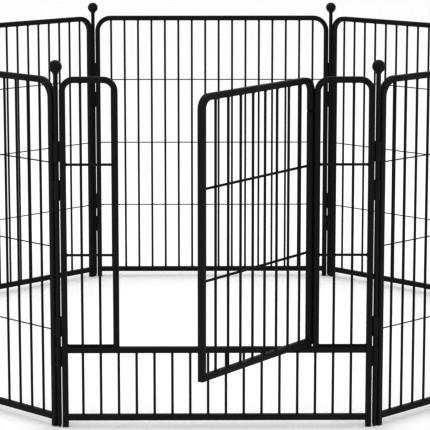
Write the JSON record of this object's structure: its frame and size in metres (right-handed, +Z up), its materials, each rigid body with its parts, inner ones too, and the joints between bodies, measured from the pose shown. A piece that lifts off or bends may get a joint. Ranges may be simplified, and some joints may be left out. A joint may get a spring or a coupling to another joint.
{
  "type": "metal pet playpen",
  "caption": "Ring of barred square-tube panels joined by ball-topped lift-out corner pins, with a hinged door above a low threshold.",
  "frame": {"origin": "centre of the bounding box, on the floor, with the door standing open as stored", "axes": "+Z up; -Y towards the front, where the door panel faces; +X towards the side that the door hangs on; the middle of the ring itself is about 0.166 m behind the origin, on +Y"},
  "size_m": [1.737, 2.0686, 0.8265],
  "materials": {
    "black_powder_coat": "satin black powder coat on square steel tube and round steel rod",
    "black_ball_coat": "slightly glossier black coat on the ball on each pin",
    "blackened_steel": "black oxide on the small hinge pins"
  },
  "bodies": {
    "door_panel": {"left_side_arch": "black_powder_coat", "right_side_arch": "black_powder_coat", "left_side_grille": "black_powder_coat", "right_side_grille": "black_powder_coat", "threshold_frame": "black_powder_coat", "hinge_lower_pin": "blackened_steel", "hinge_upper_pin": "blackened_steel"},
    "door": {"door_frame": "black_powder_coat", "door_grille": "black_powder_coat"},
    "panel_2": {"panel_2_arch": "black_powder_coat", "panel_2_grille": "black_powder_coat", "panel_2_wire_lower": "black_powder_coat", "panel_2_wire_middle": "black_powder_coat", "panel_2_wire_upper": "black_powder_coat"},
    "panel_3": {"panel_3_arch": "black_powder_coat", "panel_3_grille": "black_powder_coat", "panel_3_wire_lower": "black_powder_coat", "panel_3_wire_middle": "black_powder_coat", "panel_3_wire_upper": "black_powder_coat"},
    "panel_4": {"panel_4_arch": "black_powder_coat", "panel_4_grille": "black_powder_coat", "panel_4_wire_lower": "black_powder_coat", "panel_4_wire_middle": "black_powder_coat", "panel_4_wire_upper": "black_powder_coat"},
    "panel_5": {"panel_5_arch": "black_powder_coat", "panel_5_grille": "black_powder_coat", "panel_5_wire_lower": "black_powder_coat", "panel_5_wire_middle": "black_powder_coat", "panel_5_wire_upper": "black_powder_coat"},
    "panel_6": {"panel_6_arch": "black_powder_coat", "panel_6_grille": "black_powder_coat", "panel_6_wire_lower": "black_powder_coat", "panel_6_wire_middle": "black_powder_coat", "panel_6_wire_upper": "black_powder_coat"},
    "panel_7": {"panel_7_arch": "black_powder_coat", "panel_7_grille": "black_powder_coat", "panel_7_wire_lower": "black_powder_coat", "panel_7_wire_middle": "black_powder_coat", "panel_7_wire_upper": "black_powder_coat"},
    "panel_8": {"panel_8_arch": "black_powder_coat", "panel_8_grille": "black_powder_coat", "panel_8_wire_lower": "black_powder_coat", "panel_8_wire_middle": "black_powder_coat", "panel_8_wire_upper": "black_powder_coat"},
    "pin_1_2": {"pin_1_2_rod": "black_powder_coat", "pin_1_2_ball": "black_ball_coat"},
    "pin_2_3": {"pin_2_3_rod": "black_powder_coat", "pin_2_3_ball": "black_ball_coat"},
    "pin_3_4": {"pin_3_4_rod": "black_powder_coat", "pin_3_4_ball": "black_ball_coat"},
    "pin_4_5": {"pin_4_5_rod": "black_powder_coat", "pin_4_5_ball": "black_ball_coat"},
    "pin_5_6": {"pin_5_6_rod": "black_powder_coat", "pin_5_6_ball": "black_ball_coat"},
    "pin_6_7": {"pin_6_7_rod": "black_powder_coat", "pin_6_7_ball": "black_ball_coat"},
    "pin_7_8": {"pin_7_8_rod": "black_powder_coat", "pin_7_8_ball": "black_ball_coat"},
    "pin_8_1": {"pin_8_1_rod": "black_powder_coat", "pin_8_1_ball": "black_ball_coat"}
  },
  "joints": [
    {"name": "door_hinge", "type": "hinge", "parent": "door_panel", "child": "door", "pos_m": [0.2057, -0.68829, 0.1895], "axis": [0, 0, 1], "range_deg": [-54.6, 45.4]},
    {"name": "corner_1_2", "type": "hinge", "parent": "door_panel", "child": "panel_2", "pos_m": [0.35375, -0.68829, 0], "axis": [0, 0, 1], "range_deg": [-45, 45]},
    {"name": "corner_2_3", "type": "hinge", "parent": "panel_2", "child": "panel_3", "pos_m": [0.85403, -0.18801, 0], "axis": [0, 0, 1], "range_deg": [-45, 45]},
    {"name": "corner_3_4", "type": "hinge", "parent": "panel_3", "child": "panel_4", "pos_m": [0.85403, 0.51949, 0], "axis": [0, 0, 1], "range_deg": [-45, 45]},
    {"name": "corner_8_1", "type": "hinge", "parent": "door_panel", "child": "panel_8", "pos_m": [-0.35375, -0.68829, 0], "axis": [0, 0, 1], "range_deg": [-45, 45]},
    {"name": "corner_7_8", "type": "hinge", "parent": "panel_8", "child": "panel_7", "pos_m": [-0.85403, -0.18801, 0], "axis": [0, 0, 1], "range_deg": [-45, 45]},
    {"name": "corner_6_7", "type": "hinge", "parent": "panel_7", "child": "panel_6", "pos_m": [-0.85403, 0.51949, 0], "axis": [0, 0, 1], "range_deg": [-45, 45]},
    {"name": "corner_5_6", "type": "hinge", "parent": "panel_6", "child": "panel_5", "pos_m": [-0.35375, 1.01977, 0], "axis": [0, 0, 1], "range_deg": [-45, 45]},
    {"name": "pin_1_2_lift", "type": "slide", "parent": "door_panel", "child": "pin_1_2", "axis": [0, 0, 1], "range_m": [0, 0.66]},
    {"name": "pin_2_3_lift", "type": "slide", "parent": "panel_2", "child": "pin_2_3", "axis": [0, 0, 1], "range_m": [0, 0.66]},
    {"name": "pin_3_4_lift", "type": "slide", "parent": "panel_3", "child": "pin_3_4", "axis": [0, 0, 1], "range_m": [0, 0.66]},
    {"name": "pin_4_5_lift", "type": "slide", "parent": "panel_4", "child": "pin_4_5", "axis": [0, 0, 1], "range_m": [0, 0.66]},
    {"name": "pin_5_6_lift", "type": "slide", "parent": "panel_6", "child": "pin_5_6", "axis": [0, 0, 1], "range_m": [0, 0.66]},
    {"name": "pin_6_7_lift", "type": "slide", "parent": "panel_7", "child": "pin_6_7", "axis": [0, 0, 1], "range_m": [0, 0.66]},
    {"name": "pin_7_8_lift", "type": "slide", "parent": "panel_8", "child": "pin_7_8", "axis": [0, 0, 1], "range_m": [0, 0.66]},
    {"name": "pin_8_1_lift", "type": "slide", "parent": "door_panel", "child": "pin_8_1", "axis": [0, 0, 1], "range_m": [0, 0.66]}
  ],
  "couplings": [
    {"joint": "corner_2_3", "follows": "corner_1_2", "ratio": -1},
    {"joint": "corner_3_4", "follows": "corner_1_2", "ratio": 1},
    {"joint": "corner_8_1", "follows": "corner_1_2", "ratio": 1},
    {"joint": "corner_7_8", "follows": "corner_1_2", "ratio": -1},
    {"joint": "corner_6_7", "follows": "corner_1_2", "ratio": 1},
    {"joint": "corner_5_6", "follows": "corner_1_2", "ratio": -1}
  ]
}
